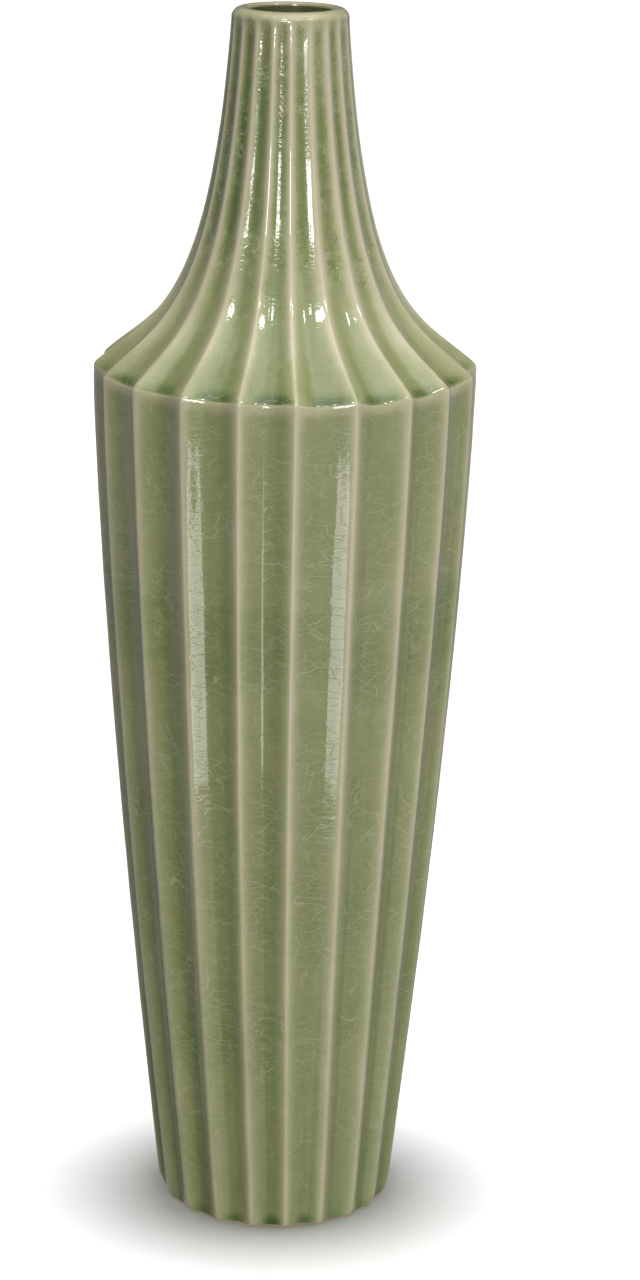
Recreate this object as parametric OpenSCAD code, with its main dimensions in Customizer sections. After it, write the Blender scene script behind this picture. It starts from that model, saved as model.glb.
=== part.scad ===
// Tall fluted stoneware vase: a body that widens upwards to a sharp shoulder, a trumpet-shaped
// neck and a plain rolled lip. The clay was cast in sections, luted together with slip in lap
// joints, fired, and coated with glaze inside and out, except on the edge that it rests on.
// Units are millimetres, +Z is up, and the origin is the centre of the resting face.

/* [Profile] */
// Height from the resting face to the top of the lip
total_h = 517.5; // [510:0.5:540]
// Height of the shoulder edge
shoulder_h = 370; // [355:1:380]
// Radius of the shoulder edge, on the flute ridges
shoulder_r = 80; // [76:1:84]
// Radius of the body at the foot, on the flute ridges
foot_r = 50.7; // [48:0.1:56]
// Bulge of the body's sides: 1 is a straight cone
body_bulge = 1.4; // [1:0.1:1.8]
// Angle at which the neck leaves the shoulder edge, above the horizontal
shoulder_slope = 41.6; // [36:0.2:46]
// How far the neck keeps that angle
shoulder_reach = 33; // [28:1:38]
// How much the neck leans out as it leaves the lip
neck_lean = 9; // [6:0.5:11]
// How far down the neck that lean carries
neck_reach = 122; // [100:1:130]

/* [Lip and mouth] */
// Outer radius of the lip
lip_r = 24; // [23.5:0.1:26]
// Height of the lip
lip_h = 4.5; // [4.5:0.5:10]
// Radius of the open mouth, glazed
mouth_r = 17.4; // [16.5:0.1:17.8]
// Length of the straight throat below the top of the lip
throat_l = 27.5; // [24:0.5:34]
// Rounding of the lip's outer edge
lip_round = 4; // [3:0.1:4.5]
// Rounding of the lip's inner edge
mouth_round = 1.5; // [1:0.1:2.2]

/* [Flutes] */
// Number of flutes around the vase
flutes = 20; // [16:1:24]
// Depth of a flute, as a share of the ridge radius
flute_share = 0.052; // [0.03:0.001:0.06]
// Shape across a flute: 2 is an even hollow, and more has a flatter bottom
flute_power = 2; // [1.5:0.1:2.4]
// Drop of the shoulder edge between two ridges
edge_dip = 1.8; // [0.5:0.1:2.5]
// Height below the lip over which the flutes run out
flute_fade = 4; // [2:0.5:10]
// Angle from the front to the nearest ridge, towards +X
flute_turn = 3.2; // [0:0.1:17]

/* [Clay and glaze] */
// Thickness of the clay wall at the bottom of a flute
wall_t = 5.5; // [5:0.1:6.5]
// Thickness of the glaze
glaze_t = 0.5; // [0.3:0.1:0.7]
// Thickness of the slip in the joints
slip_t = 0.8; // [0.6:0.1:1]
// Height of the joint between the lower and the upper wall
waist_h = 285; // [250:1:300]
// Distance of the shoulder joint below the shoulder edge
shoulder_joint_drop = 8; // [7:0.5:12]
// Depth of the tongue in the wall's lap joints
lap_l = 8; // [6:0.5:10]

/* [Foot] */
// Height of the foot ring
foot_h = 8; // [7.5:0.5:9]
// Height of the bare clay edge below the glaze
bare_h = 0.8; // [0.5:0.1:2]
// Inner radius of the resting face
recess_r = 36; // [32:0.5:38]
// Depth of the recess under the floor
recess_h = 4; // [3:0.5:5]
// Thickness of the floor
floor_t = 7; // [6:0.5:8]
// How far the walls tuck in at the foot
foot_tuck = 1.8; // [0:0.1:2.5]
// Height over which they do
foot_tuck_h = 9; // [6:0.5:12]

/* [Hidden] */
$fn = 96;

// Facets
steps_per_flute = 4;
steps_round = flutes * steps_per_flute;
neck_steps = 12;
fade_turn = 0.985;
arc_steps = 5;

// Heights and radii that follow from the driving sizes
lip_z = total_h - lip_h;
throat_z = total_h - throat_l;
shoulder_joint_z = shoulder_h - shoulder_joint_drop;
floor_top = recess_h + floor_t;
floor_seat_r = recess_r + 5;
fillet_l = 4;
lip_lap_l = 3;
lip_step_r = (mouth_r + lip_r) / 2;
throat_blend = 5;

// The neck's ridges follow one curve, from the shoulder edge to the lip
curve_start = [shoulder_r, shoulder_h];
curve_end = [lip_r, lip_z];
start_handle = curve_start + shoulder_reach * [-cos(shoulder_slope), sin(shoulder_slope)];
end_handle = curve_end + [neck_lean, -neck_reach];

// Heights at which the walls and their glaze share a ring of points
lower_heights = [foot_h, 50, 95, 140, 190, 240, waist_h];
upper_heights = [waist_h, 325, shoulder_joint_z];
foot_heights = [bare_h, foot_h / 2, foot_h];
neck_turns = concat([for (i = [1:neck_steps - 1]) i / neck_steps], [fade_turn, 1]);

// Colours
clay = [0.79, 0.71, 0.60];
slip = [0.85, 0.79, 0.70];
celadon = [0.47, 0.53, 0.36];
pale_celadon = [0.62, 0.64, 0.48];

// ---- Profiles of the ridges -------------------------------------------------------------

// Radius of the body's ridges at height z
function body_r(z) =
    shoulder_r
    - (shoulder_r - foot_r) * pow((shoulder_h - z) / shoulder_h, body_bulge)
    - foot_tuck * pow(max(0, 1 - z / foot_tuck_h), 2);

// Point [radius, height] of the neck's ridges, for t from 0 at the shoulder to 1 at the lip
function neck_point(t) =
    pow(1 - t, 3) * curve_start + 3 * pow(1 - t, 2) * t * start_handle
    + 3 * (1 - t) * t * t * end_handle + t * t * t * curve_end;

// Unit vector from that point into the clay, square to the curve, and level at the lip's joint
function neck_inward(t) =
    let (run = pow(1 - t, 2) * (start_handle - curve_start)
            + 2 * (1 - t) * t * (end_handle - start_handle)
            + t * t * (curve_end - end_handle))
    t < 1 ? [-run.y, run.x] / norm(run) : [-1, 0];

// ---- Fluted rings -----------------------------------------------------------------------
// A station is [ridge radius, ridge height, flute depth, flute drop].
// The offset puts it that far inside the glazed surface.

function body_station(z, offset = 0) =
    [body_r(z) - offset, z, flute_share * body_r(z), 0];

function edge_station(offset = 0) =
    [shoulder_r - offset,
     shoulder_h - offset * (1 - sin(shoulder_slope)) / cos(shoulder_slope),
     flute_share * shoulder_r,
     edge_dip];

function neck_station(t, offset = 0) =
    let (ridge = neck_point(t),
         inward = neck_inward(t),
         place = ridge + offset * inward,
         depth = flute_share * ridge.x * min(1, (lip_z - ridge.y) / flute_fade),
         slope_left = -inward.y / cos(shoulder_slope))
    [place.x, place.y, depth, edge_dip * depth / (flute_share * shoulder_r) * slope_left];

// How far a point between two ridges has moved: 0 on a ridge, 1 at the bottom of the flute
function flute_curve(i) =
    let (across = 2 * (i % steps_per_flute) / steps_per_flute - 1)
    1 - pow(abs(across), flute_power);

function ring(station) =
    [for (i = [0:steps_round - 1])
        let (sunk = flute_curve(i),
             angle = 360 * i / steps_round + flute_turn - 90,
             r = station[0] - station[2] * sunk)
        [r * cos(angle), r * sin(angle), station[1] - station[3] * sunk]];

// ---- Solids from rings ------------------------------------------------------------------

// Two triangles for each step of the band between two rings of points
function band(low, high, outward) =
    [for (i = [0:steps_round - 1])
        let (j = (i + 1) % steps_round,
             a = low + i, b = low + j, c = high + j, d = high + i)
        each outward ? [[a, c, b], [a, d, c]] : [[a, b, c], [a, c, d]]];

// Triangles from a ring to the point in its middle
function fan(first, middle, upward) =
    [for (i = [0:steps_round - 1])
        let (j = (i + 1) % steps_round)
        upward ? [first + j, first + i, middle] : [first + i, first + j, middle]];

// A solid that fills the space inside a stack of stations
module fluted_solid(stations) {
    last = len(stations) - 1;
    rings_end = len(stations) * steps_round;
    points = concat(
        [for (station = stations) each ring(station)],
        [[0, 0, stations[0][1]], [0, 0, stations[last][1]]]);
    faces = concat(
        [for (k = [0:last - 1]) each band(k * steps_round, (k + 1) * steps_round, true)],
        fan(0, rings_end, false),
        fan(last * steps_round, rings_end + 1, true));
    polyhedron(points, faces);
}

// A skin between an outer stack of stations and the same stack further in
module fluted_skin(outer, inner) {
    last = len(outer) - 1;
    rings_end = len(outer) * steps_round;
    points = [for (station = concat(outer, inner)) each ring(station)];
    faces = concat(
        [for (k = [0:last - 1]) each band(k * steps_round, (k + 1) * steps_round, true)],
        [for (k = [0:last - 1])
            each band(rings_end + k * steps_round, rings_end + (k + 1) * steps_round, false)],
        band(0, rings_end, false),
        band(last * steps_round, rings_end + last * steps_round, true));
    polyhedron(points, faces);
}

// ---- The hollow inside ------------------------------------------------------------------

// Radius of the clay's inner face in the body, at height z
function hollow_r(z) = body_r(z) * (1 - flute_share) - glaze_t - wall_t;

// Radius of the corner between the wall and the floor, before its fillet of slip
corner_r = hollow_r(foot_h + fillet_l);

// Inner face of the clay from the floor up to height top, moved in by offset
function hollow_outline(top, offset = 0) =
    let (neck_depth = wall_t + glaze_t + offset,
         throat_r = mouth_r + glaze_t - offset,
         under_shoulder = hollow_r(shoulder_joint_z) - offset)
    concat(
        [[0, floor_top + offset],
         [corner_r - fillet_l - offset, floor_top + offset],
         [corner_r - offset, floor_top + fillet_l]],
        [for (z = [50, 95, 140, 190, 240, 285, 325, shoulder_joint_z]) [hollow_r(z) - offset, z]],
        [for (t = neck_turns)
            let (ridge = neck_point(t),
                 place = ridge + (neck_depth + flute_share * ridge.x) * neck_inward(t))
            if (place.x < under_shoulder - 1 && place.y > shoulder_joint_z + 1
                && place.x > throat_r + 0.5 && place.y < throat_z - throat_blend)
            place],
        [[throat_r, throat_z], [throat_r, top], [0, top]]);

module hollow() {
    rotate_extrude() polygon(hollow_outline(total_h + 10));
}

// ---- Lap joints -------------------------------------------------------------------------
// The section above has a tongue that goes down inside the step of the section below.
// A layer of slip fills the space around and under the tongue.

function step_r(z) = hollow_r(z) + wall_t / 2;

// The step cut into the top of a section
module lap_step(z, r, depth) {
    translate([0, 0, z - depth]) cylinder(r = r, h = depth + 1);
}

// The tongue under a section
module lap_tongue(z, r, depth) {
    translate([0, 0, z - depth + slip_t]) cylinder(r = r - slip_t, h = depth - slip_t);
}

// The slip between them: a collar around the tongue and a ring under it
module lap_slip(z, r, depth) {
    difference() {
        translate([0, 0, z - depth]) cylinder(r = r, h = depth);
        translate([0, 0, z - depth + slip_t]) cylinder(r = r - slip_t, h = depth);
        hollow();
    }
}

// ---- Clay -------------------------------------------------------------------------------

// Ring that the vase stands on, with a ledge for the floor
module foot_ring() {
    color(clay)
    difference() {
        fluted_solid(concat(
            [body_station(0, 2 * glaze_t)],
            [for (z = foot_heights) body_station(z, glaze_t)]));
        translate([0, 0, -1]) cylinder(r = recess_r, h = foot_h + 2);
        translate([0, 0, recess_h]) cylinder(r = floor_seat_r, h = foot_h);
    }
}

// Floor, set into the foot ring
module floor_disc() {
    color(clay)
    translate([0, 0, recess_h + slip_t]) cylinder(r = floor_seat_r - slip_t, h = floor_t - slip_t);
}

// Slip under and around the floor, with a fillet in the corner with the wall
module floor_slip() {
    color(slip)
    rotate_extrude()
    polygon([
        [recess_r, recess_h],
        [floor_seat_r, recess_h],
        [floor_seat_r, foot_h],
        [corner_r, foot_h],
        [corner_r, floor_top + fillet_l],
        [corner_r - fillet_l, floor_top],
        [floor_seat_r - slip_t, floor_top],
        [floor_seat_r - slip_t, recess_h + slip_t],
        [recess_r, recess_h + slip_t]
    ]);
}

// Fluted wall from the foot ring to the waist joint
module lower_wall() {
    color(clay)
    difference() {
        fluted_solid([for (z = lower_heights) body_station(z, glaze_t)]);
        hollow();
        cylinder(r = corner_r, h = floor_top + fillet_l);
        lap_step(waist_h, step_r(waist_h), lap_l);
    }
}

module waist_slip() {
    color(slip) lap_slip(waist_h, step_r(waist_h), lap_l);
}

// Fluted wall from the waist joint to just below the shoulder edge
module upper_wall() {
    color(clay)
    difference() {
        union() {
            fluted_solid([for (z = upper_heights) body_station(z, glaze_t)]);
            lap_tongue(waist_h, step_r(waist_h), lap_l);
        }
        hollow();
        lap_step(shoulder_joint_z, step_r(shoulder_joint_z), lap_l);
    }
}

module shoulder_slip() {
    color(slip) lap_slip(shoulder_joint_z, step_r(shoulder_joint_z), lap_l);
}

// Shoulder edge and trumpet neck, one section
module shoulder_neck() {
    color(clay)
    difference() {
        union() {
            fluted_solid(concat(
                [body_station(shoulder_joint_z, glaze_t), edge_station(glaze_t)],
                [for (t = neck_turns) neck_station(t, glaze_t)]));
            lap_tongue(shoulder_joint_z, step_r(shoulder_joint_z), lap_l);
        }
        hollow();
        lap_step(lip_z, lip_step_r, lip_lap_l);
    }
}

module lip_slip() {
    color(slip) lap_slip(lip_z, lip_step_r, lip_lap_l);
}

// Points of a quarter circle of radius r, from one angle to another
function arc(centre, r, from, to) =
    [for (i = [0:arc_steps])
        let (a = from + (to - from) * i / arc_steps)
        centre + r * [cos(a), sin(a)]];

// The lip's section above its joint, grown by the glaze or not
function lip_outline(grow = 0) =
    concat(
        arc([mouth_r + mouth_round, total_h - mouth_round], mouth_round - glaze_t + grow, 180, 90),
        arc([lip_r - lip_round, total_h - lip_round], lip_round - glaze_t + grow, 90, 0));

// Plain rolled lip, with a short tongue that goes down inside the neck
module lip_ring() {
    bore_r = mouth_r + glaze_t;
    tongue_r = lip_step_r - slip_t;
    tongue_z = lip_z - lip_lap_l + slip_t;
    color(clay)
    rotate_extrude()
    polygon(concat(
        [[bore_r, tongue_z]],
        lip_outline(),
        [[lip_r - glaze_t, lip_z], [tongue_r, lip_z], [tongue_r, tongue_z]]));
}

// ---- Glaze ------------------------------------------------------------------------------

// Glaze on the outside of the body, from just above the resting face to the shoulder edge
module body_glaze() {
    heights = concat(
        foot_heights,
        [for (i = [1:len(lower_heights) - 1]) lower_heights[i]],
        [for (i = [1:len(upper_heights) - 1]) upper_heights[i]]);
    color(celadon)
    fluted_skin(
        concat([for (z = heights) body_station(z)], [edge_station()]),
        concat([for (z = heights) body_station(z, glaze_t)], [edge_station(glaze_t)]));
}

// Glaze on the shoulder and neck
module neck_glaze() {
    color(celadon)
    fluted_skin(
        concat([edge_station()], [for (t = neck_turns) neck_station(t)]),
        concat([edge_station(glaze_t)], [for (t = neck_turns) neck_station(t, glaze_t)]));
}

// Glaze over the lip, down to the start of the throat
module lip_glaze() {
    inside = lip_outline();
    color(pale_celadon)
    rotate_extrude()
    polygon(concat(
        lip_outline(glaze_t),
        [[lip_r, lip_z], [lip_r - glaze_t, lip_z]],
        [for (i = [len(inside) - 1:-1:0]) inside[i]]));
}

// Glaze on the floor and the walls inside, up through the throat
module inner_glaze() {
    throat_end = total_h - mouth_round;
    clay_face = hollow_outline(throat_end);
    glaze_face = hollow_outline(throat_end, glaze_t);
    color(celadon)
    rotate_extrude()
    polygon(concat(
        [for (i = [0:len(clay_face) - 2]) clay_face[i]],
        [for (i = [len(glaze_face) - 2:-1:0]) glaze_face[i]]));
}

foot_ring();
floor_disc();
floor_slip();
lower_wall();
waist_slip();
upper_wall();
shoulder_slip();
shoulder_neck();
lip_slip();
lip_ring();
body_glaze();
neck_glaze();
lip_glaze();
inner_glaze();
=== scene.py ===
from collections import namedtuple
import math

import bpy
import numpy as np
from mathutils import Matrix, Vector


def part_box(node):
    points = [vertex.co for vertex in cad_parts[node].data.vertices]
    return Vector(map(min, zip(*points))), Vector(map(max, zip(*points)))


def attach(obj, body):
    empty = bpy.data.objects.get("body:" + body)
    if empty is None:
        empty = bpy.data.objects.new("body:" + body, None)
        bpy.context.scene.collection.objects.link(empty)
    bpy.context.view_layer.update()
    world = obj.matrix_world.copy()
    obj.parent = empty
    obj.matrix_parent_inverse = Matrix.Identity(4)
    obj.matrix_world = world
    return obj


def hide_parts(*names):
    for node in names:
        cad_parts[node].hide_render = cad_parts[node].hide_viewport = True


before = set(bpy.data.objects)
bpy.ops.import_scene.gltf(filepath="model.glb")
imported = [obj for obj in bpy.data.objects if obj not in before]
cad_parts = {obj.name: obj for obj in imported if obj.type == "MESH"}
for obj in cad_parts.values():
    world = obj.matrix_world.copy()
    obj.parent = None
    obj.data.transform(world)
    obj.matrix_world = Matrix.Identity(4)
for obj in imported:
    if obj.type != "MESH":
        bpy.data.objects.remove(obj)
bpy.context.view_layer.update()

MM = 0.001
scene = bpy.context.scene
rng = np.random.default_rng(20)


# ---- Sizes, in millimetres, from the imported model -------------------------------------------

def low(node, axis):
    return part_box(node)[0][axis] / MM


def high(node, axis):
    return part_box(node)[1][axis] / MM


FLUTES = 20
TURN = 3.2                                  # degrees from the front to the nearest ridge
TOTAL_H = high("lip_glaze", 2)
LIP_Z = high("neck_glaze", 2)
EDGE_H = high("body_glaze", 2)
BARE_H = low("body_glaze", 2)
FOOT_H = high("foot_ring", 2)
WAIST_Z = high("lower_wall", 2)
SHOULDER_Z = high("upper_wall", 2)
FLOOR_TOP = high("floor_disc", 2)
RECESS_H = low("floor_slip", 2)
SLIP_T = low("floor_disc", 2) - RECESS_H
FLOOR_R = high("floor_disc", 0)
SEAT_R = FLOOR_R + SLIP_T
LIP_R = high("lip_glaze", 0)
EDGE_R = high("body_glaze", 0) / math.cos(math.radians(TURN))
MOUTH_R = 17.4                              # the mouth's opening, inside its glaze
LAP_L = WAIST_Z - low("waist_slip", 2)      # depth of the walls' lap joints
LIP_LAP = LIP_Z - low("lip_slip", 2)        # and of the lip's

FOOT_R = 50.7                               # ridge radius at the foot
BULGE = 1.4                                 # power of the body's curve
TUCK, TUCK_H = 1.8, 9.0                     # how far, and over what height, the foot draws in
SLOPE = math.radians(41.6)                  # slope of the shoulder at its edge
SHARE = 0.052                               # flute depth as a share of the ridge radius
DIP = 1.8                                   # drop of the shoulder edge between two ridges
GLAZE = 0.5
WALL = 5.5
RECESS_R = 36.0
RIM = 0.8                                   # rounding of the recess's rim
CORNER = 4.0                                # rise of the corner between floor and wall inside
THROAT_Z = TOTAL_H - 27.5                   # where the straight throat begins
LIP_ROUND = 4.0
MOUTH_ROUND = 1.5
STEP_R = (MOUTH_R + LIP_R) / 2              # side of the step in the lip's lap joint

# The neck is one curve from the shoulder edge to the lip, drawn between two handles
START = np.array([EDGE_R, EDGE_H])
END = np.array([LIP_R, LIP_Z])
START_HANDLE = START + 33 * np.array([-math.cos(SLOPE), math.sin(SLOPE)])
END_HANDLE = END + np.array([9.0, -122.0])


# ---- The fluted surface ---------------------------------------------------------------------

Columns = namedtuple("Columns", "across flute angle")


def columns_of(per_flute):
    """Place across its flute (-1 to 1), flute number and angle of each column; columns crowd at ridges."""
    half = np.linspace(0, 1, per_flute // 2 + 1)
    half = 1 - (1 - half) * (0.55 + 0.45 * (1 - half))
    side = np.concatenate([-half[:0:-1], half[:-1]])
    across = np.tile(side, FLUTES)
    flute = np.repeat(np.arange(FLUTES), len(side))
    turn = (flute + (across + 1) / 2) * (360 / FLUTES) + TURN - 90
    return Columns(across, flute, np.radians(turn))


# Small differences from flute to flute, each from -1 to 1
ridge_wobble = rng.uniform(-1, 1, (FLUTES, 3))
# Degrees by which each ridge stands off its even place, from the front one round towards +X
ridge_off = np.concatenate([[0.0, 0.0, 0.0, -1.0], rng.uniform(-1, 1, 13), [0.9, 1.4, 1.3]])
depth_wobble = rng.uniform(-1, 1, (FLUTES, 3))
dip_wobble = rng.uniform(-1, 1, FLUTES)
slant = rng.uniform(-1, 1, FLUTES)

# Slow waves 26 to 60 mm long, in all directions but mostly level
WAVES = 14
waves = rng.normal(size=(WAVES, 3)) * np.array([1, 1, 0.6])
waves *= (2 * math.pi / rng.uniform(26, 60, WAVES) / np.linalg.norm(waves, axis=1))[:, None]
phases = rng.uniform(0, 2 * math.pi, WAVES)


def swell(points):
    """Slow unevenness of the glazed surface, about -1 to 1."""
    return np.sin(points @ waves.T + phases).sum(axis=-1) / 5.0


def body_r(z):
    """Ridge radius of the body at a height."""
    z = np.asarray(z, float)
    curve = np.maximum((EDGE_H - z) / EDGE_H, 0) ** BULGE
    tuck = TUCK * np.maximum(0, 1 - z / TUCK_H) ** 2
    return EDGE_R - (EDGE_R - FOOT_R) * curve - tuck


def neck_point(t):
    """Ridge radius and height on the neck, from the shoulder edge (0) to the lip (1)."""
    t = np.asarray(t, float)[..., None]
    return ((1 - t) ** 3 * START + 3 * (1 - t) ** 2 * t * START_HANDLE
            + 3 * (1 - t) * t * t * END_HANDLE + t ** 3 * END)


def neck_run(t):
    """Direction of the ridge there, with length 1."""
    t = np.asarray(t, float)[..., None]
    run = ((1 - t) ** 2 * (START_HANDLE - START) + 2 * (1 - t) * t * (END_HANDLE - START_HANDLE)
           + t * t * (END - END_HANDLE))
    return run / np.linalg.norm(run, axis=-1, keepdims=True)


def smooth_step(x):
    """Eased step from 0 to 1."""
    x = np.clip(x, 0, 1)
    return x * x * (3 - 2 * x)


def flute_end(z):
    """Share of the flute depth left near the lip, where the flutes run out."""
    return smooth_step((LIP_Z + 2.0 - z) / 5.0)


# Slope of the flute's side from its middle (0) to the ridge (1): a nearly flat bottom, then
# steep sides
SIDE = np.linspace(0, 1, 201)
SIDE_SLOPE = np.interp(SIDE, [0, 0.10, 0.20, 0.30, 0.42, 0.52, 0.72, 1.0],
                       [0, 0.02, 0.09, 0.23, 0.37, 0.44, 0.52, 0.57])
SIDE_RISE = np.concatenate([[0], np.cumsum((SIDE_SLOPE[1:] + SIDE_SLOPE[:-1]) / 2)])
SIDE_RISE /= SIDE_RISE[-1]


RIDGE_ROUND = 0.85                          # rounding of the ridges on the upper body
FOOT_ROUND = 1.2                            # what is added to it towards the foot
NECK_LOSS = 0.30                            # share of their depth that the flutes lose on the neck
FOOT_LOSS = 0.5                             # and over the last few millimetres of the foot


def sunk(across, r, z):
    """How deep a point lies in its flute, 0 on the ridge and 1 in the middle. Ridges are rounded."""
    half_width = math.pi * r / FLUTES
    soft = (RIDGE_ROUND + FOOT_ROUND * smooth_step((250 - z) / 210)) / half_width
    from_ridge = 1 - np.abs(across)
    rounded = (np.sqrt(from_ridge ** 2 + soft ** 2) - soft) / (np.sqrt(1 + soft ** 2) - soft)
    flat = 1 - np.interp(np.maximum(1 - rounded, 0.0), SIDE, SIDE_RISE)
    return flat * (1 - NECK_LOSS * smooth_step((z - EDGE_H - 4) / 40))


# Degrees by which the flutes lean round the vase, near the foot and up the neck
TWIST_Z = [0, 40, 110, 200, 370, 400, 450, 500]
TWIST = [2.4, 1.7, 0.6, 0.0, 0.0, -0.9, -1.2, -1.9]


WANDER = math.radians(0.22)                 # how far a ridge wanders as it rises
WANDER_H = 95.0                             # height over which it turns by one radian of its wave
DEPTH_WOBBLE = 0.07                         # share by which a flute's depth varies as it rises


def fluted(rows, cols, offset=0.0):
    """Points of a fluted surface, moved inward by the offset. A row is (ridge radius, ridge height,
    inward x, inward z, flute depth, drop of the flute's middle)."""
    across, flute, angle = cols
    r0, z0, ix, iz, depth, drop = [np.asarray(v, float)[:, None] for v in zip(*rows)]
    nxt = (flute + 1) % FLUTES
    share = (across + 1) / 2
    phase = z0 / WANDER_H

    def per_ridge(table):
        a = table[flute, 0] * np.sin(phase + 6 * table[flute, 1]) + 0.6 * table[flute, 2]
        b = table[nxt, 0] * np.sin(phase + 6 * table[nxt, 1]) + 0.6 * table[nxt, 2]
        return a * (1 - share) + b * share

    lean = WANDER * per_ridge(ridge_wobble) * smooth_step((LIP_Z - z0) / 30)
    lean = lean + np.radians(ridge_off[flute] * (1 - share) + ridge_off[nxt] * share)
    lean = lean + np.radians(np.interp(z0, TWIST_Z, TWIST))
    deep = 1 + DEPTH_WOBBLE * (
        depth_wobble[flute, 0] * np.sin(phase * 0.8 + 6 * depth_wobble[flute, 1])
        + 0.5 * depth_wobble[flute, 2])
    s = sunk(across[None, :], np.maximum(r0, 10), z0)
    # The hollow is a little deeper on one side, another way in each flute
    skew = 1 + 0.10 * slant[flute] * across[None, :] * (1 - across[None, :] ** 2) * 2
    # So is the dip in the shoulder edge
    down = 1 + 0.42 * dip_wobble[flute] + 0.25 * slant[flute] * across[None, :]
    r = r0 + offset * ix - depth * s * deep * skew
    z = z0 + offset * iz - drop * s * down
    a = angle[None, :] + lean
    return np.stack([r * np.cos(a), r * np.sin(a), np.broadcast_to(z, r.shape)], axis=-1)


def ramp(stops, steps):
    """Values from stop to stop, with that many steps between each two."""
    out = [stops[0]]
    for a, b, n in zip(stops, stops[1:], steps):
        out += list(np.linspace(a, b, n + 1)[1:])
    return np.array(out)


def body_rows(heights):
    """Rows of the body. The edge dips between ridges, and the flutes are shallower at the foot."""
    rows = []
    for z in heights:
        r = float(body_r(z))
        near_edge = smooth_step((z - (EDGE_H - 14)) / 14)
        depth = SHARE * r * (1 - FOOT_LOSS * float(smooth_step(1 - z / 7)))
        rows.append((r, z, -1.0, 0.0, depth, DIP * near_edge))
    return rows


def neck_rows(places):
    """Rows of the shoulder and neck, at places from 0 (the edge) to 1 (the lip)."""
    rows = []
    for t in places:
        (r, z), (run_r, run_z) = neck_point(t), neck_run(t)
        inward = (-run_z, run_r)
        if t <= 0:
            inward = (-1.0, -(1 - math.sin(SLOPE)) / math.cos(SLOPE))
        if t >= 1:
            inward = (-1.0, 0.0)
        depth = SHARE * r * float(flute_end(z))
        drop = DIP * depth / (SHARE * EDGE_R) * max(0, run_r / -math.cos(SLOPE))
        rows.append((r, z, inward[0], inward[1], depth, drop))
    return rows


def arc(centre, radius, start, stop, steps):
    """Outline points on an arc, from one angle to another in degrees."""
    turns = np.radians(np.linspace(start, stop, steps + 1))
    return [(centre[0] + radius * math.cos(a), centre[1] + radius * math.sin(a)) for a in turns]


def lip_outline(grow, steps):
    """Outside of the lip from its joint up, over the top and into the mouth."""
    outer = arc((LIP_R - LIP_ROUND, TOTAL_H - LIP_ROUND), LIP_ROUND - GLAZE + grow, 0, 90, steps)
    inner = arc((MOUTH_R + MOUTH_ROUND, TOTAL_H - MOUTH_ROUND),
                MOUTH_ROUND - GLAZE + grow, 90, 180, steps)
    foot = [(LIP_R - GLAZE + grow, LIP_Z)]
    return foot + outer + inner


def lip_rows(outline):
    """Rows of the lip, where what is left of the flutes runs out."""
    return [(r, z, -1.0, 0.0, SHARE * r * float(flute_end(z)) if r > MOUTH_R + 5 else 0.0, 0.0)
            for r, z in outline]


def soften(points, first, last, passes):
    """Rounds the bend between two rows, by averaging each row with its neighbours."""
    p = points.copy()
    weight = np.zeros(len(p))
    middle = (first + last) / 2
    for i in range(first, last + 1):
        weight[i] = smooth_step(1.6 * (1 - abs(i - middle) / ((last - first) / 2)))
    for _ in range(passes):
        mean = p.copy()
        mean[1:-1] = 0.25 * p[:-2] + 0.5 * p[1:-1] + 0.25 * p[2:]
        p += weight[:, None, None] * (mean - p)
    return p


def normals_of(points):
    """Smooth normals of a grid of points whose rows close around the axis."""
    round_way = np.roll(points, -1, axis=1) - np.roll(points, 1, axis=1)
    up_way = np.empty_like(points)
    up_way[1:-1] = points[2:] - points[:-2]
    up_way[0] = points[1] - points[0]
    up_way[-1] = points[-1] - points[-2]
    n = np.cross(round_way, up_way)
    size = np.linalg.norm(n, axis=-1, keepdims=True)
    return n / np.maximum(size, 1e-12)


# ---- Closed solids from rings of points -----------------------------------------------------

def linked(name, data):
    """A new object in the scene."""
    obj = bpy.data.objects.new(name, data)
    scene.collection.objects.link(obj)
    return obj


def ring_mesh(name, co, faces, corner_normals):
    """A mesh from points, a list of arrays of faces, and a normal for each corner of a face."""
    mesh = bpy.data.meshes.new(name)
    sizes = np.concatenate([np.full(len(f), f.shape[1]) for f in faces])
    corners = np.concatenate([f.ravel() for f in faces])
    starts = np.concatenate([[0], np.cumsum(sizes)[:-1]])
    mesh.vertices.add(len(co))
    mesh.vertices.foreach_set("co", co.ravel())
    mesh.loops.add(len(corners))
    mesh.loops.foreach_set("vertex_index", corners.astype(np.int32))
    mesh.polygons.add(len(sizes))
    mesh.polygons.foreach_set("loop_start", starts.astype(np.int32))
    mesh.polygons.foreach_set("use_smooth", np.ones(len(sizes), bool))
    mesh.update(calc_edges=True)
    mesh.normals_split_custom_set(corner_normals.tolist())
    return mesh


def skirt(ring, next_ring, n, next_n):
    """Faces and corner normals between two rings. A ring is (point numbers, whether it is a pole)."""
    (a, a_pole), (b, b_pole) = ring, next_ring
    a2, b2 = np.roll(a, -1), np.roll(b, -1)
    n2, next_n2 = np.roll(n, -1, axis=0), np.roll(next_n, -1, axis=0)
    if a_pole:
        return np.stack([a, b2, b], 1), np.stack([next_n, next_n2, next_n], 1)
    if b_pole:
        return np.stack([a, a2, b], 1), np.stack([n, n2, n], 1)
    return np.stack([a, a2, b2, b], 1), np.stack([n, n2, next_n2, next_n], 1)


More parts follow.
